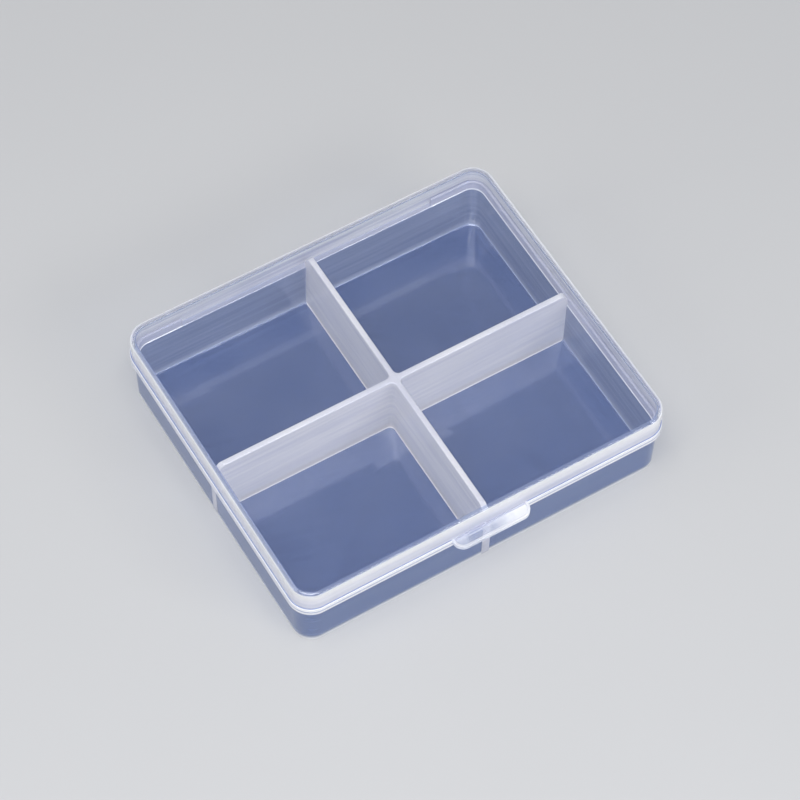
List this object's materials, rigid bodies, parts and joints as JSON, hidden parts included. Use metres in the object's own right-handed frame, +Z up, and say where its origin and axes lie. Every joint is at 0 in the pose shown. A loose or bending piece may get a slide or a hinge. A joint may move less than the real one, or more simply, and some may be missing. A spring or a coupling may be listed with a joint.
{
  "type": "compartment storage box",
  "caption": "Flat clear plastic storage box with crossed fixed dividers and a hinged snap lid with a thumb tab, for small craft parts.",
  "frame": {"origin": "middle of the tray's flat base, under the centre of the lid's outline", "axes": "+X to the right along the front edge, +Y from the thumb tab towards the hinge, +Z up through the lid"},
  "size_m": [0.09, 0.0807, 0.0208],
  "materials": {
    "clear_tray": "clear, slightly milky gloss",
    "clear_lid": "clear gloss"
  },
  "bodies": {
    "tray": {"tray_shell": "clear_tray", "rim_flange": "clear_tray", "rim_lip": "clear_tray", "crossing_post": "clear_tray", "left_divider": "clear_tray", "right_divider": "clear_tray", "front_divider": "clear_tray", "rear_divider": "clear_tray", "front_catch": "clear_tray", "side_detent": "clear_tray", "tray_hinge_leaf": "clear_tray"},
    "lid": {"lid_shell": "clear_lid", "lid_rim_bead": "clear_lid", "lid_snap_bead": "clear_lid", "thumb_tab": "clear_lid", "tab_rib": "clear_lid", "lid_hinge_leaf": "clear_lid"}
  },
  "joints": [
    {"name": "lid_hinge", "type": "hinge", "parent": "tray", "child": "lid", "pos_m": [0, 0.0394, 0.0142], "axis": [-1, 0, 0], "range_deg": [0, 180]}
  ]
}
